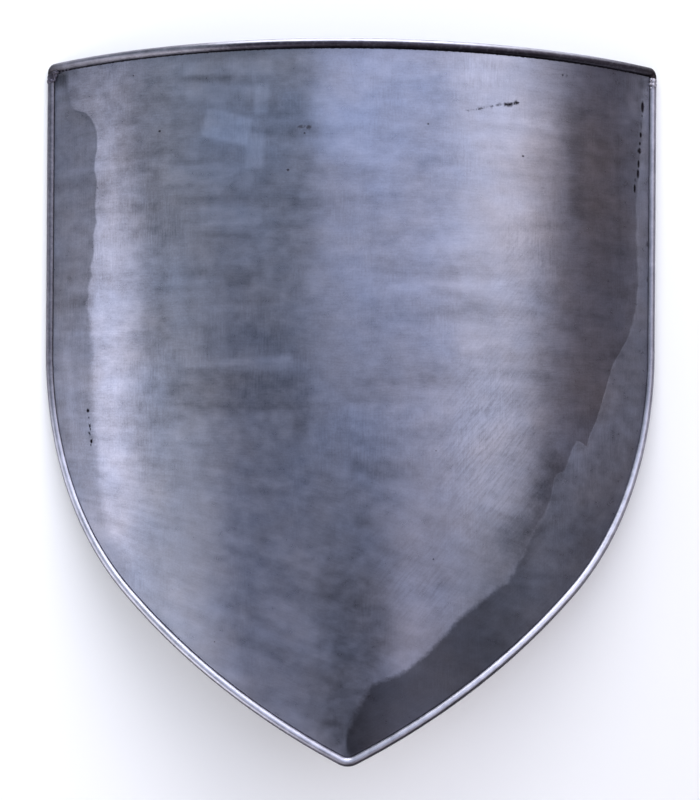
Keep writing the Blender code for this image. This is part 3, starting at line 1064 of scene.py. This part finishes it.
# Studio: a pale floor in a light tent whose cloth glows unevenly, and a soft box beyond the top edge
studio = {
    "floorSize": 12.0,
    "floorColour": "#f6f6f6",
    "skyColour": (0.93, 0.95, 1.0, 1.0),
    "skyStrength": 0.8,
    "tentRadius": 2.4,
    "tentStep": 3,
    "centreHeight": 0.06,
    "boxTilt": 71,
    "boxDistance": 2.2,
    "boxSize": (2.6, 1.2),
    "boxBrightness": 4.4,
    # a glow, in degrees: across from, to, softness, along from, to, softness, then its red, green and blue.
    # Across is 0 straight up and + to the right; along is + towards the top edge.
    "glows": (
        (-95, -80, 6, -60, 40, 14, (0.38, 0.41, 0.49)),
        (-79, -63, 7, -60, 14, 14, (2.85, 2.82, 2.98)),
        (-80, -58, 6, 14, 60, 14, (0.14, 0.19, 0.27)),
        (-63, -59, 5, -60, 6, 12, (1.50, 1.48, 1.56)),
        (-62, -46, 8, -60, -10, 14, (0.60, 0.62, 0.66)),
        (-62, -46, 8, -10, 10, 14, (0.18, 0.20, 0.20)),
        (-58, -38, 8, -30, 4, 12, (0.60, 0.58, 0.50)),
        (-95, -60, 6, -60, -26, 8, (1.30, 1.24, 1.00)),
        (-60, -34, 10, -60, -26, 8, (2.70, 2.66, 2.85)),
        (-34, -8, 12, -60, -26, 8, (1.25, 1.18, 1.22)),
        (-60, -10, 8, 8, 60, 14, (0.53, 0.60, 0.67)),
        (-60, -10, 8, -26, 8, 14, (0.26, 0.30, 0.42)),
        (-10, 30, 10, 0, 60, 14, (1.42, 1.52, 1.84)),
        (12, 34, 8, -30, -2, 12, (0.80, 0.76, 0.82)),
        (30, 51, 11, -6, 60, 14, (2.40, 2.38, 2.54)),
        (52, 60, 8, 10, 60, 14, (1.40, 1.36, 1.40)),
        (8, 32, 10, -60, -26, 8, (0.90, 0.80, 0.86)),
        (52, 68, 8, -26, 60, 14, (0.42, 0.38, 0.41)),
        (68, 95, 8, -26, 60, 14, (0.28, 0.25, 0.27)),
    ),
}


def window(angle, low, high, soft):
    # 1 between low and high, with soft ends
    rise = smoothStep(low - soft / 2, low + soft / 2, angle)
    return rise * (1 - smoothStep(high - soft / 2, high + soft / 2, angle))


def makeTent():
    steps = math.ceil(180 / studio["tentStep"])
    angles = np.linspace(-90, 90, steps + 1)
    across, along = np.meshgrid(angles, angles * 0.98, indexing="ij")
    glow = np.zeros((*across.shape, 3))
    for low, high, soft, foot, head, softAlong, colour in studio["glows"]:
        share = window(across, low, high, soft) * window(along, foot, head, softAlong)
        glow += share[..., None] * np.array(colour)
    turn, tilt = np.radians(across), np.radians(along)
    out = np.stack((np.sin(turn) * np.cos(tilt), np.sin(tilt), np.cos(turn) * np.cos(tilt)), -1)
    places = out * studio["tentRadius"] + np.array((0, 0, studio["centreHeight"]))
    count = steps + 1
    faces = [
        (i * count + j, (i + 1) * count + j, (i + 1) * count + j + 1, i * count + j + 1)
        for i in range(steps) for j in range(steps)
    ]
    mesh = bpy.data.meshes.new("lightTent")
    mesh.from_pydata(places.reshape(-1, 3).tolist(), [], faces)
    attribute = mesh.attributes.new("glow", "FLOAT_COLOR", "POINT")
    colours = np.column_stack((glow.reshape(-1, 3), np.ones(count * count)))
    attribute.data.foreach_set("color", colours.astype(np.float32).ravel())
    material, tree, shader = newMaterial("lit tent cloth")
    shader.inputs["Base Color"].default_value = (0, 0, 0, 1)
    shader.inputs["Specular IOR Level"].default_value = 0.0
    shader.inputs["Emission Strength"].default_value = 1.0
    colour = addNode(tree, "ShaderNodeAttribute", attribute_name="glow").outputs["Color"]
    tree.links.new(colour, shader.inputs["Emission Color"])
    mesh.materials.append(material)
    tent = addObject("lightTent", mesh)
    tent.visible_camera = False


def makeSoftBox():
    tilt = math.radians(studio["boxTilt"])
    out = Vector((0, math.sin(tilt), math.cos(tilt)))
    light = bpy.data.lights.new("softBox", "AREA")
    light.shape = "RECTANGLE"
    light.size, light.size_y = studio["boxSize"]
    light.energy = 4 * light.size * light.size_y * studio["boxBrightness"]
    box = addObject("softBox", light)
    upward = Vector((0, math.cos(tilt), -math.sin(tilt)))
    turned = Matrix((Vector((1, 0, 0)), upward, out)).transposed().to_4x4()
    centre = Vector((0, 0, studio["centreHeight"]))
    box.matrix_world = Matrix.Translation(centre + out * studio["boxDistance"]) @ turned
    box.visible_camera = False


def makeFloor():
    mesh = bpy.data.meshes.new("floor")
    half = studio["floorSize"] / 2
    corners = [(-half, -half, 0), (half, -half, 0), (half, half, 0), (-half, half, 0)]
    mesh.from_pydata(corners, [], [(0, 1, 2, 3)])
    material, _, shader = newMaterial("matt white paper")
    shader.inputs["Base Color"].default_value = linear(studio["floorColour"])
    shader.inputs["Roughness"].default_value = 1.0
    shader.inputs["Specular IOR Level"].default_value = 0.0
    mesh.materials.append(material)
    floor = addObject("floor", mesh)


def makeSky():
    # seen only past the tent, in low views
    world = bpy.data.worlds.new("pale sky")
    world.use_nodes = True
    background = world.node_tree.nodes["Background"]
    background.inputs["Color"].default_value = studio["skyColour"]
    background.inputs["Strength"].default_value = studio["skyStrength"]
    bpy.context.scene.world = world


makeFloor()
makeTent()
makeSoftBox()
makeSky()
print("studio done")

# Camera over the crown, turned a little as the photograph is
view = {"height": 1.1985, "up": 0.00205, "lens": 58.51, "turn": 0.0065}
camera = bpy.data.cameras.new("camera")
camera.lens = view["lens"]
camera.sensor_width = 36
cameraObject = addObject("camera", camera)
cameraObject.location = (0, view["up"], view["height"])
cameraObject.rotation_euler = (0, 0, view["turn"])
bpy.context.scene.camera = cameraObject
bpy.context.scene.view_settings.view_transform = "Standard"
